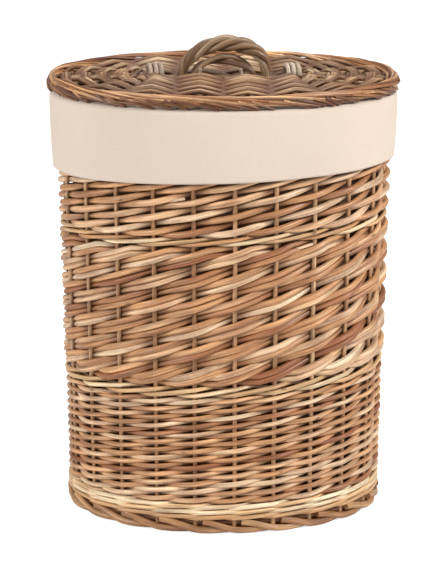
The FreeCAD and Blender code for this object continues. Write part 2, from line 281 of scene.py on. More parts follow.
def willow_material(name, dark, middle, light, stick_along=None):
    """A willow finish; stick_along is X, Y or Z for a plain stick and None for a woven rod."""
    material = bpy.data.materials.new(name)
    material.use_nodes = True
    tree = material.node_tree
    shader = tree.nodes["Principled BSDF"]
    coordinates = add_node(tree, "ShaderNodeTexCoord")
    if stick_along is None:
        where = coordinates.outputs["UV"]
        tone_source = add_node(tree, "ShaderNodeAttribute", attribute_name="rod_tone").outputs["Fac"]
    else:
        parts = add_node(tree, "ShaderNodeSeparateXYZ", {0: coordinates.outputs["Object"]})
        order = stick_along + "XYZ".replace(stick_along, "")
        joined = {index: parts.outputs[axis] for index, axis in enumerate(order)}
        where = add_node(tree, "ShaderNodeCombineXYZ", joined).outputs[0]
        tone_source = in_range(tree, cloud(tree, stretched(tree, where, (2.0, 25.0, 25.0))), 0.3, 0.7)
    group = add_node(tree, "ShaderNodeGroup", node_tree=willow_group)
    for label, value in (("Dark", dark), ("Middle", middle), ("Light", light)):
        group.inputs[label].default_value = colour(*value)
    tree.links.new(where, group.inputs["Place"])
    tree.links.new(tone_source, group.inputs["Tone"])
    if stick_along is None:
        # Painted shade for a woven rod comes from a per-point attribute of its mesh.
        painted_shade = add_node(tree, "ShaderNodeAttribute", attribute_name="painted_shade")
        tree.links.new(painted_shade.outputs["Fac"], group.inputs["Painted Shade"])
    bump = add_node(
        tree,
        "ShaderNodeBump",
        {"Strength": BUMP_STRENGTH, "Distance": BUMP_DEPTH, "Height": group.outputs["Height"]},
    )
    tree.links.new(group.outputs["Color"], shader.inputs["Base Color"])
    tree.links.new(group.outputs["Roughness"], shader.inputs["Roughness"])
    tree.links.new(bump.outputs["Normal"], shader.inputs["Normal"])
    shader.inputs["Coat Weight"].default_value = 0.2
    shader.inputs["Coat Roughness"].default_value = 0.3
    return material


wall_willow = willow_material("wall_willow", (146, 84, 48), (216, 164, 114), (254, 232, 198))
stake_willow = willow_material("stake_willow", (140, 90, 56), (196, 150, 106), (228, 192, 150))
ring_willow = willow_material("ring_willow", (190, 140, 94), (230, 192, 142), (250, 228, 190))
border_willow = willow_material("border_willow", (118, 70, 42), (166, 116, 74), (212, 166, 116))
lid_border_willow = willow_material("lid_border_willow", (92, 46, 20), (172, 116, 68), (240, 192, 140))
base_willow = willow_material("base_willow", (112, 72, 42), (168, 122, 76), (206, 170, 120))
lid_willow = willow_material("lid_willow", (90, 54, 30), (166, 126, 86), (224, 194, 152))
handle_willow = willow_material("handle_willow", (92, 62, 38), (158, 124, 90), (212, 184, 148))
pale_willow = willow_material("pale_willow", (156, 134, 114), (192, 170, 150), (216, 198, 180))
print(len(bpy.data.materials), "materials so far")

# %% [markdown]
# ## How a rod is made
# A rod is a round line with a thickness that changes along it, so a curve with a bevel suits it
# better than pushed and pulled faces. Each rod is drawn as a curve, turned into a mesh with closed
# ends, and added to its band's mesh together with its tone. Its UV map is stretched to real metres
# so that the fibres have the same scale on a long rod and a short one. RING_STEPS gives the curve's
# bevel resolution for a rod of 8, 10 or 12 sides.

# %% The rod maker
RING_STEPS = {8: 2, 10: 3, 12: 4}
SHARP_EDGE = math.radians(60)
WELD_REACH = 0.000002

rod_curve = bpy.data.curves.new("rod_curve", "CURVE")
rod_curve.dimensions = "3D"
rod_curve.bevel_depth = 1.0
rod_curve.use_fill_caps = True
rod_maker = bpy.data.objects.new("rod_maker", rod_curve)


def add_rod(band, points, radii, tone, closed=False):
    """Draws one rod through the points and adds it to a band's bmesh."""
    rod_curve.splines.clear()
    spline = rod_curve.splines.new("POLY")
    spline.points.add(len(points) - 1)
    spline.points.foreach_set("co", [part for point in points for part in (*point, 1.0)])
    spline.points.foreach_set("radius", radii)
    spline.use_cyclic_u = closed
    mesh = bpy.data.meshes.new_from_object(rod_maker)
    length = sum((b - a).length for a, b in zip(points, points[1:]))
    girth = 2 * math.pi * radii[len(radii) // 2]
    corners = [0.0] * (2 * len(mesh.loops))
    uv_map = mesh.uv_layers[0]
    uv_map.data.foreach_get("uv", corners)
    corners[0::2] = [along * length for along in corners[0::2]]
    corners[1::2] = [around * girth for around in corners[1::2]]
    uv_map.data.foreach_set("uv", corners)
    tones = mesh.attributes.new("rod_tone", "FLOAT", "POINT")
    tones.data.foreach_set("value", [tone] * len(mesh.vertices))
    band.from_mesh(mesh)
    bpy.data.meshes.remove(mesh)


def finish_piece(name, band, body, material, nodes=(), painted_shade=None):
    """Turns a bmesh into a piece of the object: welded, finished, riding and standing for nodes.

    The last argument is a function that gives each point's painted shade, from 0 to about 1, by how deep
    in the weave the point lies.
    """
    bmesh.ops.remove_doubles(band, verts=band.verts, dist=WELD_REACH)
    mesh = bpy.data.meshes.new(name)
    band.to_mesh(mesh)
    band.free()
    mesh.set_sharp_from_angle(angle=SHARP_EDGE)
    # Painted shade: each point's darkening deep in the weave is stored on the mesh for the willow finish.
    if painted_shade:
        painted_shade_values = mesh.attributes.new("painted_shade", "FLOAT", "POINT")
        painted_shade_values.data.foreach_set("value", [painted_shade(vert.co) for vert in mesh.vertices])
    mesh.materials.append(material)
    piece = bpy.data.objects.new(name, mesh)
    bpy.context.scene.collection.objects.link(piece)
    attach(piece, body)
    if nodes:
        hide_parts(*nodes)
    print(name, len(mesh.polygons), "faces")
    return piece


# %% [markdown]
# Rods that lie deep in the weave are darkened as painted shade, standing in for the shade between
# the rods. It is darkest just behind the middle of the wall's thickness; both wall faces get none.

# %% Painted shade deep in the wall
INNER_UNSHADED = -0.0085
INNER_SHADED = -0.0060
OUTER_SHADED = -0.0036
OUTER_UNSHADED = 0.0024


def ease_between(value, low, high):
    """0 below low, 1 above high, and a smooth change between."""
    share = min(1.0, max(0.0, (value - low) / (high - low)))
    return share * share * (3 - 2 * share)


def wall_painted_shade(point):
    """How much painted shade a point gets, by how deep in the wall's weave it lies."""
    half_length, half_width = wall_halves(point.z, WALL_THICKNESS / 2)
    angle = math.atan2(point.y / half_width, point.x / half_length)
    cosine, sine = math.cos(angle), math.sin(angle)
    outward = Vector((half_width * cosine, half_length * sine)).normalized()
    away = (point.xy - Vector((half_length * cosine, half_width * sine))).dot(outward)
    return ease_between(away, INNER_UNSHADED, INNER_SHADED) * (1 - ease_between(away, OUTER_SHADED, OUTER_UNSHADED))


# %% [markdown]
# ## The stakes
# The stakes are the upright rods that everything else is woven round. The frame holds them as
# exact cylinders. Real ones are a little crooked and thinner towards the rim, so each is drawn
# again in its own place, as a rod that wanders by less than half a millimetre.

# %% Stakes
random.seed(11)
STAKE_POINTS = 40
STAKE_WANDER = 0.0005
STAKE_SWELL = 0.0002
STAKE_BUTT = 0.0032
STAKE_TAPER = 0.0003
STAKES_PER_METRE = 20

for index, node in enumerate(stake_nodes):
    low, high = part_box(node)
    rod_curve.bevel_resolution = RING_STEPS[10]
    stake = bmesh.new()
    points = []
    radii = []
    for step in range(STAKE_POINTS):
        share = step / (STAKE_POINTS - 1)
        z = low.z + (high.z - low.z) * share
        sway = noise.noise(Vector((index * 7.0, z * 14, 0))) * STAKE_WANDER
        swell = noise.noise(Vector((index * 3.0, z * 40, 5))) * STAKE_SWELL
        points.append(on_wall(index + sway * STAKES_PER_METRE, z, sway))
        radii.append(STAKE_BUTT - STAKE_TAPER * share + swell)
    add_rod(stake, points, radii, random.uniform(0.25, 0.85))
    finish_piece("stake_%02d" % (index + 1), stake, "basket", stake_willow, [node])

# %% [markdown]
# ## Randing
# Randing is the plain over-and-under weave. Here one rod starts at every stake and climbs as it
# goes in front of one stake and behind the next, so all the strokes slope the same way. A cosine,
# drawn a little towards a zigzag because willow is stiff, swings the rod from behind a stake to in
# front of the next, and the climb is spread evenly. Pairs of rods worked together, as in the middle
# band, are called slewing.

# %% Randing and slewing
STEPS_PER_STAKE = 8
STAKE_RADIUS = 0.0031
SWING_SHARE = 0.8
WAVE_POINT = 0.07
END_REST = 0.6
PAIR_STEP = 0.97
RISE_WANDER = 0.0007
SWING_WANDER = 0.0005
ROD_BUTT = 1.08
ROD_TAPER = 0.16


def gentle(seed, place):
    """A smooth wander between about -1 and 1 along a rod."""
    return noise.noise(Vector((place * 0.9, seed * 13.7, 0.0))) * 1.7


def randing(name, node, diameter, travel, in_pair, material, seed):
    """A band of rods that climb as they weave; travel is how many stakes each rod passes."""
    random.seed(seed)
    rod_curve.bevel_resolution = RING_STEPS[8]
    low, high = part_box(node)
    band = bmesh.new()
    room = diameter * in_pair
    climb = high.z - low.z - room
    swing = (STAKE_RADIUS + diameter / 2) * SWING_SHARE
    for start in range(STAKES):
        pair_tone = random.random()
        for member in range(in_pair):
            tone = min(1.0, max(0.0, pair_tone * 0.5 + random.random() * 0.5))
            thick = diameter / 2 * random.uniform(0.95, 1.08)
            stacked = (member - (in_pair - 1) / 2) * diameter * PAIR_STEP
            rod_seed = seed + start + member * 0.37
            points = []
            radii = []
            begin = -0.02 - random.random() * 0.14
            end = travel + random.random() * 0.14
            steps = int((end - begin) * STEPS_PER_STAKE)
            for step in range(steps + 1):
                along = begin + (end - begin) * step / steps
                wander = gentle(rod_seed, along)
                risen = min(max((along - END_REST) / (travel - 2 * END_REST), 0.0), 1.0)
                z = low.z + room / 2 + climb * risen + stacked
                z += wander * RISE_WANDER
                bend = math.cos(math.pi * along)
                sharper = math.cos(3 * math.pi * along)
                wave = bend * (1 - WAVE_POINT) + sharper * WAVE_POINT
                out = -swing * wave + gentle(rod_seed + 50, along) * SWING_WANDER
                point = on_wall(start + along, z, out)
                point.z += lean(point.x, z)
                points.append(point)
                radii.append(thick * (ROD_BUTT - ROD_TAPER * along / travel))
            add_rod(band, points, radii, tone)
    return finish_piece(name, band, "basket", material, [node], wall_painted_shade)


randing("lower_randing_rods", "lower_randing", 0.0063, 26, 1, wall_willow, 21)
randing("middle_slewing_rods", "middle_slewing", 0.0085, 12, 2, wall_willow, 31)
randing("upper_randing_rods", "upper_randing", 0.0083, 14, 1, wall_willow, 41)

# %% [markdown]
# A rod that runs out is cut off where it lies, and here and there its tip springs out of the weave.

# %% Loose tips
TIP_RADIUS = 0.0021
TIP_POINTS = 12
TIP_STARTS_OUT = -0.0025
TIP_SPRINGS_OUT = 0.0085
# Each tip has its band, its stake, its share of the band's height, its reach in stakes and its rise.
LOOSE_TIPS = (
    ("middle_slewing", 1.35, 0.93, 0.55, 0.008),
    ("middle_slewing", 1.55, 0.52, 0.50, 0.016),
    ("middle_slewing", 4.30, 0.70, 0.45, 0.012),
    ("upper_randing", 20.4, 0.35, 0.40, 0.006),
    ("lower_randing", 2.6, 0.15, 0.50, 0.007),
    ("middle_slewing", 13.4, 0.60, 0.50, 0.012),
)

random.seed(45)
rod_curve.bevel_resolution = RING_STEPS[8]
tips = bmesh.new()
for node, stake, level, reach, rise in LOOSE_TIPS:
    low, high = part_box(node)
    tip_z = low.z + (high.z - low.z) * level
    points = []
    for step in range(TIP_POINTS):
        share = step / (TIP_POINTS - 1)
        out = TIP_SPRINGS_OUT * share + TIP_STARTS_OUT
        point = on_wall(stake + reach * share, tip_z + rise * share, out)
        point.z += lean(point.x, point.z)
        points.append(point)
    add_rod(tips, points, [TIP_RADIUS] * TIP_POINTS, random.uniform(0.75, 1.0))
finish_piece("loose_tips", tips, "basket", wall_willow)

# %% [markdown]
# ## Waling
# A wale is the firm ring between the randed bands. Three rods are worked together: each passes in
# front of two stakes and behind one, and crosses over the other two as it goes, so the ring looks
# like a flat rope. All three follow one path, a stake apart.

# %% Wales
LEAST_RISE = 0.0004
CROSSING_ROOM = 0.22
WALE_WANDER = 0.0004


def waling(name, node, rounds, diameter, material, seed):
    """Rings of three-rod wale that fill a band's height."""
    random.seed(seed)
    rod_curve.bevel_resolution = RING_STEPS[8]
    low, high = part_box(node)
    band = bmesh.new()
    pitch = (high.z - low.z) / rounds
    rise = max(LEAST_RISE, (pitch - diameter) / 2 + diameter * CROSSING_ROOM)
    swing = (STAKE_RADIUS + diameter / 2) * SWING_SHARE
    half_way = STAKES // 2
    for ring in range(rounds):
        middle_z = low.z + pitch * (ring + 0.5)
        for strand in range(3):
            tone = random.random()
            thick = diameter / 2 * random.uniform(0.92, 1.08)
            points = []
            radii = []
            begin, end = -1.0, STAKES - 2.0
            steps = int((end - begin) * STEPS_PER_STAKE)
            for step in range(steps + 1):
                along = begin + (end - begin) * step / steps
                beat = along % 3
                inside = max(-1.0, min(1.0, 2 * math.cos(2 * math.pi * (along - 0.5) / 3)))
                if beat < 1.5 or beat >= 2.5:
                    forward = (beat + 0.5) % 3
                    z = middle_z - rise * math.cos(math.pi * forward / 2)
                else:
                    z = middle_z + rise * math.cos(math.pi * (beat - 1.5))
                z += gentle(seed + ring * 3 + strand, along) * WALE_WANDER
                point = on_wall(half_way + strand + along, z, swing * inside)
                point.z += lean(point.x, z)
                points.append(point)
                radii.append(thick)
            add_rod(band, points, radii, tone)
    return finish_piece(name, band, "basket", material, [node], wall_painted_shade)


waling("upsett_rods", "upsett_wale", 3, 0.0062, ring_willow, 51)
waling("lower_ring_rods", "lower_ring_wale", 1, 0.0058, ring_willow, 61)
waling("upper_ring_rods", "upper_ring_wale", 1, 0.0050, ring_willow, 71)
waling("rim_wale_rods", "rim_wale", 2, 0.0066, wall_willow, 81)

# %% [markdown]
# ## The rolled borders
# At the foot each stake is bent down and laid along the edge: it starts high with a cut end, slants
# down to the floor and passes under the next one. The rim is worked the same way, upside down. Two
# rings inside the border close the gaps between the bent rods.

# %% Rolled borders of the basket
CORE_STEPS = 132
CORE_LEVELS = (0.3, 0.74)
CORE_OUT = -0.0035
BENT_STEPS = 25
BENT_STEP = 0.085
FALL_STAKES = 1.05
BENT_OUT = 0.0046
TUCK_STARTS = 1.25
TUCK_STAKES = 0.8
TUCK_IN = 0.0105


def rolled_border(name, node, diameter, turned_up, seed):
    """A border of one bent-over rod for each stake."""
    random.seed(seed)
    rod_curve.bevel_resolution = RING_STEPS[12]
    low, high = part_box(node)
    band = bmesh.new()
    top = high.z - diameter * 0.3
    bottom = low.z + diameter * 0.55
    for level in CORE_LEVELS:
        z = low.z + (high.z - low.z) * level
        ring = [on_wall(STAKES * step / CORE_STEPS, z, CORE_OUT) for step in range(CORE_STEPS)]
        add_rod(band, ring, [diameter * 0.46] * CORE_STEPS, random.random(), closed=True)
    for start in range(STAKES):
        points = []
        radii = []
        butt = random.uniform(-0.05, 0.1)
        thick = diameter / 2 * random.uniform(0.93, 1.05)
        for step in range(BENT_STEPS):
            along = butt + step * BENT_STEP
            fall = ease_between(along, 0.0, FALL_STAKES)
            z = top + (bottom - top) * fall + 0.0003 * gentle(seed + start, along)
            if turned_up:
                z = high.z + low.z - z
            tuck = max(0.0, along - TUCK_STARTS) / TUCK_STAKES
            out = BENT_OUT - TUCK_IN * min(1.0, tuck) ** 1.3
            points.append(on_wall(start + 0.12 + along, z, out))
            radii.append(thick * (1.0 - 0.1 * along / 2))
        add_rod(band, points, radii, random.uniform(0.15, 1.0))
    return finish_piece(name, band, "basket", border_willow, [node], wall_painted_shade)


rolled_border("foot_border_rods", "foot_border", 0.0096, False, 91)
rolled_border("rim_border_rods", "rim_border", 0.0072, True, 95)

# %% [markdown]
# ## Flat oval weaving
# The base and the lid are woven flat. Rows of rods run round the oval and pass over and under the
# sticks. A row's path is an ellipse, and the places where it meets the sticks are found from the
# sticks themselves, so that each rise and dip sits on a real stick. Neighbouring groups of rows take
# turns: where one goes over, the next goes under.

# %% Where the sticks are
STICK_WELD = 0.00001
TIP_REACH = 1.05
HALVINGS = 20


def stick_lines(node, diameter):
    """The two ends of each separate stick of a node."""
    shell = bmesh.new()
    shell.from_mesh(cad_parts[node].data)
    bmesh.ops.remove_doubles(shell, verts=shell.verts, dist=STICK_WELD)
    unseen = set(shell.verts)
    lines = []
    while unseen:
        island = [unseen.pop()]
        for vert in island:
            for edge in vert.link_edges:
                other = edge.other_vert(vert)
                if other in unseen:
                    unseen.remove(other)
                    island.append(other)
        centre = sum((vert.co for vert in island), Vector()) / len(island)
        first = max(island, key=lambda vert: (vert.co - centre).length).co
        second = max(island, key=lambda vert: (vert.co - first).length).co
        ends = []
        for tip in (first, second):
            near = [vert.co for vert in island if (vert.co - tip).length < diameter * TIP_REACH]
            low = Vector(min(co[axis] for co in near) for axis in range(3))
            high = Vector(max(co[axis] for co in near) for axis in range(3))
            ends.append((low + high) / 2)
        lines.append(sorted(ends, key=lambda end: end.xy.length))
    shell.free()
    return lines


def crossing_angle(halves, inner, outer):
    """The oval's angle where it crosses a line that starts inside it, or None."""
    def outside(point):
        return (point.x / halves[0]) ** 2 + (point.y / halves[1]) ** 2 - 1

    if outside(inner) > 0 or outside(outer) < 0:
        return None
    near, far = inner.copy(), outer.copy()
    for halving in range(HALVINGS):
        middle = (near + far) / 2
        if outside(middle) > 0:
            far = middle
        else:
            near = middle
    return math.atan2(near.y / halves[1], near.x / halves[0]) % (2 * math.pi)


# %% The rows of a flat weave
ROW_PITCH = 0.96
OVER_STICK = 0.48
WIDE_GAP = 0.25
WIDE_STEPS, NARROW_STEPS = 9, 6
SMOOTH_SHARE = 0.3
ROW_WANDER = 0.0004


def row_swing(part):
    """How much of the last height is left part of the way to the next: a zigzag, rounded a little."""
    return SMOOTH_SHARE * (1 + math.cos(math.pi * part)) / 2 + (1 - SMOOTH_SHARE) * (1 - part)


def flat_weave(
    name, plate, sticks, first_halves, last_halves, diameter, group, seed, body, material
):
    """Rows of rods round the sticks of an oval plate; sticks are (inner, outer, radius)."""
    random.seed(seed)
    rod_curve.bevel_resolution = RING_STEPS[8]
    low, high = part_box(plate)
    middle_z = (low.z + high.z) / 2
    rows = int((last_halves[1] - first_halves[1]) / (diameter * ROW_PITCH))
    weave = bmesh.new()
    for row in range(rows + 1):
        share = row / rows
        halves = tuple(a + (b - a) * share for a, b in zip(first_halves, last_halves))
        meetings = []
        for inner, outer, radius in sticks:
            angle = crossing_angle(halves, inner, outer)
            if angle is not None:
                meetings.append((angle, radius))
        meetings.sort()
        sign = 1 if (row // group) % 2 else -1
        meets = [
            (angle, sign * (-1) ** index * (radius + diameter * OVER_STICK))
            for index, (angle, radius) in enumerate(meetings)
        ]
        breaks = [index for index, meet in enumerate(meets) if meet[1] < 0]
        breaks = sorted(random.sample(breaks, 2))
        count = len(meets)
        meets += [(angle + 2 * math.pi, height) for angle, height in meets]
        for begin, end in ((breaks[0], breaks[1]), (breaks[1], breaks[0] + count)):
            points = []
            for index in range(begin, end):
                angle, height = meets[index]
                next_angle, next_height = meets[index + 1]
                steps = WIDE_STEPS if next_angle - angle > WIDE_GAP else NARROW_STEPS
                for step in range(steps):
                    part = step / steps
                    turn = angle + (next_angle - angle) * part
                    swing = row_swing(part)
                    z = middle_z + height * swing + next_height * (1 - swing)
                    spread = 1 + gentle(seed + row, turn * 3) * ROW_WANDER / halves[1]
                    x = halves[0] * math.cos(turn) * spread
                    y = halves[1] * math.sin(turn) * spread
                    points.append(Vector((x, y, z)))
            angle, height = meets[end]
            x, y = halves[0] * math.cos(angle), halves[1] * math.sin(angle)
            points.append(Vector((x, y, middle_z + height)))
            thick = diameter / 2 * random.uniform(0.78, 1.07)
            add_rod(weave, points, [thick] * len(points), random.random())
    reach = max(radius for _, _, radius in sticks) + diameter

    # Painted shade: rods are darkened where they lie between the weave's two faces.
    def painted_shade(point):
        """How much painted shade a point gets, by how deep between the faces of this weave it lies."""
        return 1.2 * (1 - ease_between(abs(point.z - middle_z), 0.001, reach * 0.85))

    return finish_piece(name, weave, body, material, [plate], painted_shade)


CROSS_REACH = 1.2
END_REACH = 0.3


def plate_sticks(prefix, end_group):
    """Every line that a row can cross: each half of a stick that runs right across, and the end sticks."""
    found = []
    crossing_nodes = sorted(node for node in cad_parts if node.startswith(prefix + "_cross_stick"))
    for node in crossing_nodes:
        low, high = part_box(node)
        radius = (high.z - low.z) / 2
        middle = (low + high) / 2
        for y in (low.y + radius, high.y - radius):
            inner = Vector((middle.x, 0, middle.z))
            outer = Vector((middle.x, y * CROSS_REACH, middle.z))
            found.append((inner, outer, radius))
    low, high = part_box(prefix + "_long_stick_2")
    radius = (high.z - low.z) / 2
    for x in (low.x, high.x):
        found.append((Vector((0, 0, low.z)), Vector((x * CROSS_REACH, 0, low.z)), radius))
    if end_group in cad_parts:
        low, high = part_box(end_group)
        radius = (high.z - low.z) / 2
        for inner, outer in stick_lines(end_group, radius * 2):
            found.append((inner, outer + (outer - inner) * END_REACH, radius))
    return found


# %% [markdown]
# ## The base
# The base is seen only when the hamper is tipped up or the liner is out, yet it is woven like the
# rest, from thinner rods.

# %% Base
base_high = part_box("base_weave")[1]
BASE_ROD = 0.0036
BASE_START_GAP = -0.02
BASE_START_HALF = 0.022
base_inner = (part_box("base_cross_stick_5")[1].x + BASE_START_GAP, BASE_START_HALF)
base_outer = (base_high.x - BASE_ROD / 2, base_high.y - BASE_ROD / 2)
flat_weave(
    "base_rods", "base_weave", plate_sticks("base", "base_end_sticks"), base_inner, base_outer,
    BASE_ROD, 1, 101, "basket", base_willow,
)

# %% [markdown]
# ## The lid
# The lid's field is woven in groups of three rows that go over and under together. Seen from the
# front at a low angle, the rises over each stick line up into chevrons.

# %% The lid's field
LID_ROD = 0.0056
LID_START_GAP = 0.006
LID_START_HALF = 0.014
lid_weave_low, lid_weave_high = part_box("lid_weave")
lid_inner = (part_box("lid_cross_stick_4")[1].x + LID_START_GAP, LID_START_HALF)
lid_outer = (lid_weave_high.x - LID_ROD / 2, lid_weave_high.y - LID_ROD / 2)
flat_weave(
    "lid_rods", "lid_weave", plate_sticks("lid", "lid_end_sticks"), lid_inner, lid_outer,
    LID_ROD, 3, 111, "lid", lid_willow,
)

# %% [markdown]
# The border of the lid is a thick roll. Each rod comes up from the field, goes over the top and
# down the outer side, and ends underneath, while the next ones lie against it. In section the rods
# travel round a small oval, so the roll is drawn as a long, slow twist. The trimmed tips of the
# field's rods slant out below it all round, and a ring inside fills the roll.

# %% The lid's border
LID_BORDER_RODS = 38
LID_BORDER_ROD = 0.0042
BORDER_TRAVEL = 11.5
BORDER_STEPS = 80
BORDER_FRONT_DROP = 0.008
BORDER_STARTS, BORDER_GOES = 205, 265
SECTION_WANDER = 0.16
LEAST_SUNK, SUNK_WANDER = 0.0007, 0.0011

border_low, border_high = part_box("lid_border")
border_width = border_high.x - lid_weave_high.x


def on_lid_border(turn, section, shrink=0.0):
    """A point of the lid's border: its place round the lid and its angle in the border's section.

    The roll is a little lower at the front than at the back.
    """
    reach = border_width / 2 - LID_BORDER_ROD / 2 - shrink
    top = border_high.z - BORDER_FRONT_DROP * (1 - math.sin(turn)) / 2
    height = (top - border_low.z) / 2 - LID_BORDER_ROD / 2 - shrink
    half_length = border_high.x - border_width / 2
    half_width = border_high.y - border_width / 2
    outward = Vector((half_width * math.cos(turn), half_length * math.sin(turn), 0)).normalized()
    core = Vector((half_length * math.cos(turn), half_width * math.sin(turn), (border_low.z + top) / 2))
    return core + outward * reach * math.cos(section) + Vector((0, 0, height * math.sin(section)))


def evenly_round(count, half_length, half_width):
    """Oval angles that divide an oval's edge into equal lengths."""
    fine = 2000
    lengths = [0.0]
    for index in range(fine):
        angle = 2 * math.pi * (index + 0.5) / fine
        slope = math.hypot(half_length * math.sin(angle), half_width * math.cos(angle))
        lengths.append(lengths[-1] + slope)
    angles = []
    index = 0
    for number in range(count):
        while lengths[index] < lengths[-1] * number / count:
            index += 1
        angles.append(2 * math.pi * index / fine)
    return angles + [2 * math.pi]


border_places = evenly_round(LID_BORDER_RODS, border_high.x, border_high.y)


def border_turn(place):
    """The oval's angle at a place counted in border rods."""
    turns, rest = divmod(place, LID_BORDER_RODS)
    index = int(rest)
    here, after = border_places[index], border_places[index + 1]
    return 2 * math.pi * turns + here + (after - here) * (rest - index)


# %% The border's rods
BORDER_TIPS = 66
TIP_STEPS = 8
TIP_STARTS = math.radians(14)
TIP_OUT = 0.0012
TIP_DROP = 0.0016
BORDER_TIP_RADIUS, TIP_TAPER = 0.0021, 0.0005
CORE_ANGLE = 4
CORE_SLACK = 0.0016

random.seed(121)
rod_curve.bevel_resolution = RING_STEPS[10]
border = bmesh.new()
for number in range(LID_BORDER_RODS):
    travel = BORDER_TRAVEL * random.uniform(0.94, 1.04)
    thick = LID_BORDER_ROD / 2 * random.uniform(0.72, 1.08)
    points = []
    radii = []
    for step in range(BORDER_STEPS + 1):
        share = step / BORDER_STEPS
        section = math.radians(BORDER_STARTS - BORDER_GOES * share)
        section += SECTION_WANDER * gentle(number + 120, share * 5)
        sunk = LEAST_SUNK + SUNK_WANDER * gentle(number + 160, share * 6)
        points.append(on_lid_border(border_turn(number + travel * share), section, sunk))
        radii.append(thick * (1.05 - 0.2 * share))
    add_rod(border, points, radii, random.uniform(0.1, 1.0))
for number in range(BORDER_TIPS):
    begin = LID_BORDER_RODS * (number + random.random() * 0.6) / BORDER_TIPS
    reach = random.uniform(0.7, 2.2)
    last_section = math.radians(random.uniform(-80, -36))
    points = []
    radii = []
    for step in range(TIP_STEPS + 1):
        share = step / TIP_STEPS
        section = TIP_STARTS * (1 - share) + last_section * share
        point = on_lid_border(border_turn(begin + reach * share), section, -TIP_OUT * share)
        points.append(point + Vector((0, 0, -TIP_DROP * share * share)))
        radii.append(BORDER_TIP_RADIUS - TIP_TAPER * share)
    add_rod(border, points, radii, random.uniform(0.0, 0.8))
core_shrink = border_width / 2 - LID_BORDER_ROD / 2
core_turns = [math.radians(angle) for angle in range(0, 360, CORE_ANGLE)]
core_points = [on_lid_border(turn, 0.0, core_shrink) for turn in core_turns]
add_rod(border, core_points, [core_shrink - CORE_SLACK] * len(core_points), 0.2, closed=True)


# Painted shade: rods low on the lid's border are darkened, standing in for the shade under the roll.
UNDER_SHADED, UNDER_UNSHADED = 0.002, 0.0115


def under_border_shade(point):
    """How much painted shade a point low on the lid's border gets, standing in for the shade under the
    roll.
    """
    return 1.1 * (1 - ease_between(point.z - border_low.z, UNDER_SHADED, UNDER_UNSHADED))


finish_piece(
    "lid_border_rods", border, "lid", lid_border_willow, ["lid_border"], under_border_shade
)

# %% [markdown]
# ## The handle
# The handle is a bundle of rods bent into an arch and twisted like a rope. Its ends go down through
# the lid between the sticks. Each strand follows the arch at a small distance that grows towards
# the top, and its place in the bundle turns as it goes.

# %% The handle
HANDLE_STRANDS = 4
HANDLE_TURNS = 1.6
HANDLE_ROD = 0.0094
HANDLE_FLATNESS = 0.78
HANDLE_SKEW = 0.007
HANDLE_SUNK = 0.004
LOOSE_LEAST, LOOSE_MOST = 0.0022, 0.0072
HANDLE_ROOM = 0.0004
HANDLE_WANDER = 0.0008
HANDLE_STEPS = 60
LOWER_STRANDS = 2
LOWER_TURNS = 0.9
LOWER_ROD = 0.0076
LOWER_INSET = 0.016
LOWER_RISE = 0.55
LOWER_LOOSE_UP, LOWER_LOOSE_SIDE = 0.004, 0.0065
LOWER_STEPS = 40

handle_nodes = sorted(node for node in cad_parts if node.startswith("handle_strand"))
handle_low, handle_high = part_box(handle_nodes[-1])
handle_foot = handle_low.z - HANDLE_SUNK
half_span = (handle_high.x - handle_low.x) / 2 - HANDLE_ROD
handle_rise = handle_high.z - handle_foot - LOOSE_MOST - HANDLE_ROD / 2 - HANDLE_ROOM

random.seed(131)
rod_curve.bevel_resolution = RING_STEPS[10]
handle = bmesh.new()
for strand in range(HANDLE_STRANDS):
    points = []
    radii = []
    for step in range(HANDLE_STEPS + 1):
        share = step / HANDLE_STEPS
        bow = math.pi * share
        centre_x = -half_span * math.cos(bow) + HANDLE_SKEW * math.sin(bow)
        centre_z = handle_foot + handle_rise * math.sin(bow) ** HANDLE_FLATNESS
        stray = Vector((0, gentle(strand + 131, share * 5), gentle(strand + 141, share * 5)))
        centre = Vector((centre_x, 0, centre_z)) + stray * HANDLE_WANDER * math.sin(bow)
        outward = Vector((-math.cos(bow), 0, math.sin(bow)))
        loose = LOOSE_LEAST + (LOOSE_MOST - LOOSE_LEAST) * math.sin(bow)
        twist = 2 * math.pi * (HANDLE_TURNS * share + strand / HANDLE_STRANDS)
        sideways = Vector((0, loose * math.sin(twist), 0))
        points.append(centre + outward * loose * math.cos(twist) + sideways)
        thickness = 0.8 + 0.18 * math.sin(bow) + 0.05 * gentle(strand + 151, share * 6)
        radii.append(HANDLE_ROD / 2 * thickness)
    add_rod(handle, points, radii, random.uniform(0.2, 0.9))
for strand in range(LOWER_STRANDS):
    points = []
    for step in range(LOWER_STEPS + 1):
        share = step / LOWER_STEPS
        bow = math.pi * share
        twist = 2 * math.pi * (LOWER_TURNS * share + strand / LOWER_STRANDS)
        x = -(half_span - LOWER_INSET) * math.cos(bow)
        z = handle_foot + LOWER_RISE * handle_rise * math.sin(bow)
        z += LOWER_LOOSE_UP * math.cos(twist)
        points.append(Vector((x, LOWER_LOOSE_SIDE * math.sin(twist), z)))
    add_rod(handle, points, [LOWER_ROD / 2] * len(points), random.uniform(0.1, 0.6))
finish_piece("handle_rods", handle, "lid", handle_willow, handle_nodes)

# %% [markdown]
# ## Lashings and pegs
# Pale split willow is wound three times over the middle sticks where they meet the outermost cross
# sticks. Two pale pegs lock the feet of the handle.

# %% Lashings
LASHING_RADIUS = 0.0034
LASHING_STEPS = 18
WIND_STEP = 0.0074
WIND_LEAN = 0.0026

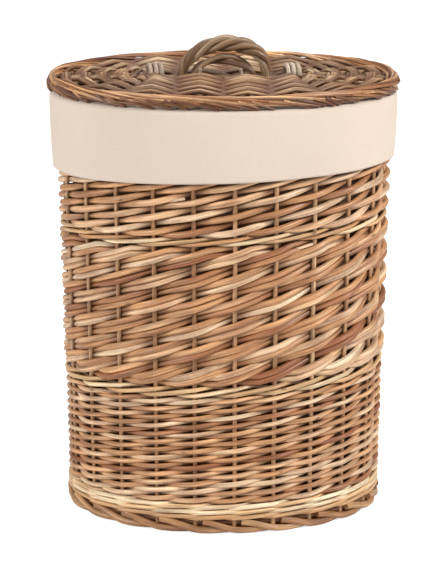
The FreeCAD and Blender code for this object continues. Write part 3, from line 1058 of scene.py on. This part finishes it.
random.seed(141)
rod_curve.bevel_resolution = RING_STEPS[8]
for side in ("left", "right"):
    node = "lashing_" + side
    low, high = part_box(node)
    middle = (low + high) / 2
    half_reach = (high.y - low.y) / 2
    lashing = bmesh.new()
    for wind in (-1, 0, 1):
        rise = (high.z - low.z) * random.uniform(0.88, 1.0) - LASHING_RADIUS
        points = []
        for step in range(LASHING_STEPS + 1):
            bow = math.pi * step / LASHING_STEPS
            x = middle.x + wind * WIND_STEP + WIND_LEAN * math.cos(bow)
            y = (LASHING_RADIUS - half_reach) * math.cos(bow)
            points.append(Vector((x, y, low.z + rise * math.sin(bow) ** 0.8)))
        add_rod(lashing, points, [LASHING_RADIUS] * len(points), random.uniform(0.0, 0.9))
    finish_piece("lashing_rods_" + side, lashing, "lid", pale_willow, [node])

# %% Pegs
PEG_PLACES = ((-0.034, 0.25), (0.026, -0.2))
PEG_FRONT = -0.006
PEG_SUNK = 0.004
PEG_STEPS = 14
PEG_RADIUS = 0.0034
PEG_TAPER = 0.0001

pegs = bmesh.new()
for x, slant in PEG_PLACES:
    foot = Vector((x, PEG_FRONT, lid_weave_low.z + PEG_SUNK))
    climb = Vector((slant * 0.001, -0.0004, 0.0013))
    points = [foot + climb * step for step in range(PEG_STEPS)]
    radii = [PEG_RADIUS - PEG_TAPER * step for step in range(PEG_STEPS)]
    add_rod(pegs, points, radii, 0.6)
finish_piece("handle_pegs", pegs, "lid", pale_willow)

# %% [markdown]
# ## The liner
# The liner is one sewn bag of plain cream cotton: its wall stands inside the basket, folds over the
# rim and hangs outside as a cuff. A ring of points is swept through the bag's profile by extruding
# its edge again and again, which keeps an even grid for the weave's UV map. Cloth is never quite
# smooth, so the grid is then eased in and out by soft noise, more where the cloth hangs free. A
# fitted bag against a stiff wall has hardly any slack, so it needs no simulation. The right side of
# the cloth is cream; its wrong side, against the wall, is brown as painted shade for the wall's gaps.

# %% The cotton pattern
THREADS_PER_METRE = 1250
SLUB_LONG, SLUB_FINE = 35.0, 900.0
MOTTLE_SCALE = (9.0, 9.0, 1.0)

cotton_group, given, result = new_group(
    "plain_weave", [("Place", "Vector"), ("Shade", "Color"), ("Shadow", "Color")],
    [("Color", "Color"), ("Roughness", "Float"), ("Height", "Float")],
)
place = given.outputs["Place"]
parts = add_node(cotton_group, "ShaderNodeSeparateXYZ", {0: place})
slub = cloud(cotton_group, stretched(cotton_group, place, (SLUB_FINE, SLUB_LONG, 1.0)), 2.0)
slub_across = cloud(cotton_group, stretched(cotton_group, place, (SLUB_LONG, SLUB_FINE, 1.0)), 2.0)
threads = []
for axis in ("X", "Y"):
    turns = calculate(cotton_group, "MULTIPLY", parts.outputs[axis], THREADS_PER_METRE * math.pi)
    threads.append(calculate(cotton_group, "SINE", turns, 0.0))
crossing = calculate(cotton_group, "MULTIPLY", threads[0], threads[1])
mottle = cloud(cotton_group, stretched(cotton_group, place, MOTTLE_SCALE), 3.0)
uneven = calculate(cotton_group, "ADD", slub, slub_across)
share = in_range(cotton_group, calculate(cotton_group, "ADD", uneven, mottle), 1.2, 1.9)
tinted = blend_colours(cotton_group, share, given.outputs["Shadow"], given.outputs["Shade"])
cotton_group.links.new(tinted, result.inputs["Color"])
cotton_group.links.new(in_range(cotton_group, mottle, 0.3, 0.7, 0.82, 0.95), result.inputs["Roughness"])
cotton_group.links.new(calculate(cotton_group, "ADD", uneven, crossing), result.inputs["Height"])

# %% Cotton materials
WEAVE_DEPTH = 0.0003
WEAVE_STRENGTH = 0.03


def cotton_material(name, shade, shadow):
    """A cotton finish between two shades."""
    material = bpy.data.materials.new(name)
    material.use_nodes = True
    tree = material.node_tree
    shader = tree.nodes["Principled BSDF"]
    cotton = add_node(tree, "ShaderNodeGroup", node_tree=cotton_group)
    cotton.inputs["Shade"].default_value = colour(*shade)
    cotton.inputs["Shadow"].default_value = colour(*shadow)
    tree.links.new(add_node(tree, "ShaderNodeTexCoord").outputs["UV"], cotton.inputs["Place"])
    height = cotton.outputs["Height"]
    relief = {"Strength": WEAVE_STRENGTH, "Distance": WEAVE_DEPTH, "Height": height}
    bump = add_node(tree, "ShaderNodeBump", relief)
    tree.links.new(cotton.outputs["Color"], shader.inputs["Base Color"])
    tree.links.new(cotton.outputs["Roughness"], shader.inputs["Roughness"])
    tree.links.new(bump.outputs["Normal"], shader.inputs["Normal"])
    shader.inputs["Sheen Weight"].default_value = 0.1
    shader.inputs["Sheen Roughness"].default_value = 0.5
    return material


liner_cotton = cotton_material("liner_cotton", (220, 204, 188), (215, 197, 180))
# Painted shade: the wrong side's brown stands in for the shade seen through the wall's gaps.
shade_backing_cotton = cotton_material("shade_backing_cotton", (116, 80, 54), (100, 68, 44))

# %% The profile of the liner
CLOTH = 0.0011
LINER_SIDES = 264
FOLD_RADIUS = 0.006
BAG_STEPS = 40
FOLD_STEPS = 6
FLAT_STEPS = 4
CUFF_STEPS = 30

bag_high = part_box("liner_bag")[1]
cuff_low, cuff_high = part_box("liner_cuff")
bottom_low, bottom_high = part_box("liner_bottom")
bag_inset = wall_halves(bag_high.z)[0] - bag_high.x + CLOTH / 2
cuff_reach = cuff_high.x - wall_halves(rim_high.z)[0] - CLOTH / 2
fold_z = cuff_high.z - CLOTH / 2
fold_start = fold_z - FOLD_RADIUS
bottom_z = (bottom_low.z + bottom_high.z) / 2
flat_start = bag_inset - FOLD_RADIUS
flat_end = FOLD_RADIUS - cuff_reach

# Each row of the profile has its height, its inset from the wall's outer face and how loose it is.
profile = []
for step in range(BAG_STEPS + 1):
    share = step / BAG_STEPS
    profile.append((bottom_z + (fold_start - bottom_z) * share, bag_inset, 1.0 - share))
for step in range(1, FOLD_STEPS + 1):
    turn = math.pi / 2 * step / (FOLD_STEPS + 1)
    inset = flat_start + FOLD_RADIUS * math.cos(turn)
    profile.append((fold_start + FOLD_RADIUS * math.sin(turn), inset, 0.0))
for step in range(FLAT_STEPS + 1):
    profile.append((fold_z, flat_start + (flat_end - flat_start) * step / FLAT_STEPS, 0.0))
for step in range(1, FOLD_STEPS + 1):
    turn = math.pi / 2 * step / FOLD_STEPS
    inset = flat_end - FOLD_RADIUS * math.sin(turn)
    profile.append((fold_start + FOLD_RADIUS * math.cos(turn), inset, 0.0))
for step in range(1, CUFF_STEPS + 1):
    share = step / CUFF_STEPS
    profile.append((fold_start + (cuff_low.z - fold_start) * share, -cuff_reach, share))


def liner_point(turn, z, inset):
    """A point of the liner's cloth; below the rim the cuff drops straight and the bag tapers."""
    level = z if inset > 0 else rim_high.z
    half_length, half_width = wall_halves(level, 0.0)
    cosine, sine = math.cos(turn), math.sin(turn)
    outward = Vector((half_width * cosine, half_length * sine, 0)).normalized()
    return Vector((half_length * cosine, half_width * sine, z)) - outward * inset, outward


print("the liner's profile has", len(profile), "rows")

# %% The liner's grid
turns = evenly_round(LINER_SIDES, rim_high.x, rim_high.y)
cloth = bmesh.new()
ring = bmesh.ops.create_circle(cloth, segments=LINER_SIDES, radius=1.0)["verts"]
rings = [ring]
while len(rings) < len(profile):
    last = rings[-1]
    after = last[1:] + last[:1]
    edges = [cloth.edges.get(pair) for pair in zip(last, after)]
    grown = bmesh.ops.extrude_edge_only(cloth, edges=edges)["geom"]
    fresh = {item for item in grown if isinstance(item, bmesh.types.BMVert)}
    neighbours = [[edge.other_vert(vert) for edge in vert.link_edges] for vert in last]
    rings.append([next(other for other in near if other in fresh) for near in neighbours])
print("the grid has", len(cloth.faces), "faces")

# %% The liner's shape
BAG_EASE, BAG_CLEAR = 0.0090, 0.0006
CUFF_EASE, CUFF_CLEAR = 0.0030, 0.0008
CUFF_DRAWN_IN = 0.0028

uv_layer = cloth.loops.layers.uv.new("UVMap")
around = 2 * math.pi * math.sqrt((rim_high.x ** 2 + rim_high.y ** 2) / 2)
drop = 0.0
drops = [0.0]
for here, below in zip(profile, profile[1:]):
    drop += math.hypot(below[0] - here[0], below[1] - here[1])
    drops.append(drop)
rank_of = {}
for level, ring in enumerate(rings):
    z, inset, loose = profile[level]
    for index, vert in enumerate(ring):
        rank_of[vert] = (index, level)
        spot, outward = liner_point(turns[index], z, inset)
        if inset > 0:
            free = min(1.0, 6 * loose * (1.05 - loose))
            ease = noise.noise(Vector((spot.x * 16, spot.y * 16, spot.z * 5))) * BAG_EASE
            spot -= outward * max(0.0, ease * free + BAG_CLEAR)
        else:
            fall = loose * loose
            ease = noise.noise(Vector((spot.x * 13, spot.y * 13, spot.z * 4))) * CUFF_EASE
            puff = max(0.0, ease + CUFF_CLEAR) * (0.35 + 0.65 * loose)
            spot += outward * (puff - CUFF_DRAWN_IN * fall)
            spot.z += lean(spot.x, LEAN_STARTS) * fall
        vert.co = spot
for face in cloth.faces:
    indices = [rank_of[loop.vert][0] for loop in face.loops]
    wraps = max(indices) - min(indices) > LINER_SIDES / 2
    for loop, index in zip(face.loops, indices):
        index = LINER_SIDES if wraps and index == 0 else index
        loop[uv_layer].uv = (around * index / LINER_SIDES, drops[rank_of[loop.vert][1]])
    face.smooth = True
bmesh.ops.recalc_face_normals(cloth, faces=cloth.faces)

# %% The liner's thickness and its two sides
liner_nodes = ["liner_bag", "liner_cuff"]
liner = finish_piece("liner_cloth", cloth, "liner", liner_cotton, liner_nodes)
thickness = liner.modifiers.new("cloth", "SOLIDIFY")
thickness.thickness = CLOTH
thickness.offset = 0.0
# Painted shade: the second material, on the cloth's wrong side against the wall, is brown.
liner.data.materials.append(shade_backing_cotton)
thickness.material_offset = 1
thickness.material_offset_rim = 0

# %% The bottom of the liner
BOTTOM_SIDES = 96
BOTTOM_RINGS = 12
BOTTOM_INSET = 0.078
BOTTOM_SWELL = 0.002

bottom = bmesh.new()
bmesh.ops.create_circle(bottom, cap_ends=True, cap_tris=False, segments=BOTTOM_SIDES, radius=1.0)
for number in range(BOTTOM_RINGS):
    middle_face = max(bottom.faces, key=lambda face: len(face.verts))
    bmesh.ops.inset_individual(bottom, faces=[middle_face], thickness=BOTTOM_INSET)
bottom_uv = bottom.loops.layers.uv.new("UVMap")
bottom_halves = wall_halves(bottom_z, bag_inset + 0.001)
for vert in bottom.verts:
    x, y = vert.co.x * bottom_halves[0], vert.co.y * bottom_halves[1]
    swell = noise.noise(Vector((x * 18, y * 18, 3))) * BOTTOM_SWELL
    edge_share = 1 - vert.co.xy.length ** 4
    vert.co = (x, y, bottom_z + max(0.0, swell + 0.0006) * edge_share)
for face in bottom.faces:
    face.smooth = True
    for loop in face.loops:
        loop[bottom_uv].uv = loop.vert.co.xy
liner_bottom = finish_piece(
    "liner_bottom_cloth", bottom, "liner", liner_cotton, ["liner_bottom"]
)
thickness = liner_bottom.modifiers.new("cloth", "SOLIDIFY")
thickness.thickness = CLOTH
thickness.offset = 0.0

# %% [markdown]
# ## Finishes for the sticks that stay as they are
# The long, cross and end sticks come straight from the frame. They only need a willow finish whose
# fibres run along them.

# %% Sticks of the base and the lid
for prefix, shades, slot in (
    ("base", ((112, 72, 42), (168, 122, 76), (206, 170, 120)), "base_willow"),
    ("lid", ((104, 74, 46), (160, 120, 78), (204, 174, 130)), "lid_willow"),
):
    along_x = willow_material(prefix + "_stick_long_willow", *shades, stick_along="X")
    along_y = willow_material(prefix + "_stick_cross_willow", *shades, stick_along="Y")
    for node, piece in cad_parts.items():
        if node.startswith(prefix) and "stick" in node:
            piece.data.materials.clear()
            piece.data.materials.append(along_y if "cross" in node else along_x)

# %% [markdown]
# ## Floor and light
# A plain pale floor and a pale surround, with a soft lamp high on the right, a larger and weaker one
# on the left and one overhead, like a small product studio. The floor glows a little where the
# camera sees it directly, which keeps it white without adding light to the hamper.

# %% Floor
FLOOR_HALF = 12.0
FLOOR_GLOW = 0.68
floor_mesh = bmesh.new()
bmesh.ops.create_grid(floor_mesh, x_segments=1, y_segments=1, size=FLOOR_HALF)
floor_data = bpy.data.meshes.new("floor")
floor_mesh.to_mesh(floor_data)
floor_mesh.free()
floor = bpy.data.objects.new("floor", floor_data)
bpy.context.scene.collection.objects.link(floor)
floor_paint = bpy.data.materials.new("floor_paint")
floor_paint.use_nodes = True
floor_shader = floor_paint.node_tree.nodes["Principled BSDF"]
floor_shader.inputs["Base Color"].default_value = (0.85, 0.85, 0.85, 1)
floor_shader.inputs["Roughness"].default_value = 0.9
floor_shader.inputs["Emission Color"].default_value = (1, 1, 1, 1)
floor_seen = add_node(floor_paint.node_tree, "ShaderNodeLightPath").outputs["Is Camera Ray"]
floor_glow = calculate(floor_paint.node_tree, "MULTIPLY", floor_seen, FLOOR_GLOW)
floor_paint.node_tree.links.new(floor_glow, floor_shader.inputs["Emission Strength"])
floor_data.materials.append(floor_paint)

# %% Light
SURROUND_LIGHT, SURROUND_SEEN = 0.46, 1.05
world = bpy.data.worlds.new("studio")
world.use_nodes = True
seen = add_node(world.node_tree, "ShaderNodeLightPath").outputs["Is Camera Ray"]
surround = world.node_tree.nodes["Background"]
surround.inputs["Color"].default_value = (1.0, 0.99, 0.98, 1)
strength = in_range(world.node_tree, seen, 0.0, 1.0, SURROUND_LIGHT, SURROUND_SEEN)
world.node_tree.links.new(strength, surround.inputs["Strength"])
bpy.context.scene.world = world
bpy.context.scene.view_settings.view_transform = "Standard"


def soft_lamp(name, where, size, power):
    """A square soft lamp that faces the middle of the hamper."""
    data = bpy.data.lights.new(name, "AREA")
    data.size = size
    data.energy = power
    lamp = bpy.data.objects.new(name, data)
    lamp.location = where
    aim = CAMERA_FOCUS - Vector(where)
    lamp.rotation_euler = aim.to_track_quat("-Z", "Y").to_euler()
    bpy.context.scene.collection.objects.link(lamp)


soft_lamp("key_lamp", (2.1, -1.3, 2.2), 0.7, 62)
soft_lamp("fill_lamp", (-2.3, -1.3, 1.6), 1.0, 37)
soft_lamp("top_lamp", (0.0, 0.2, 2.4), 1.0, 17)
print(len(bpy.data.lights), "lamps")
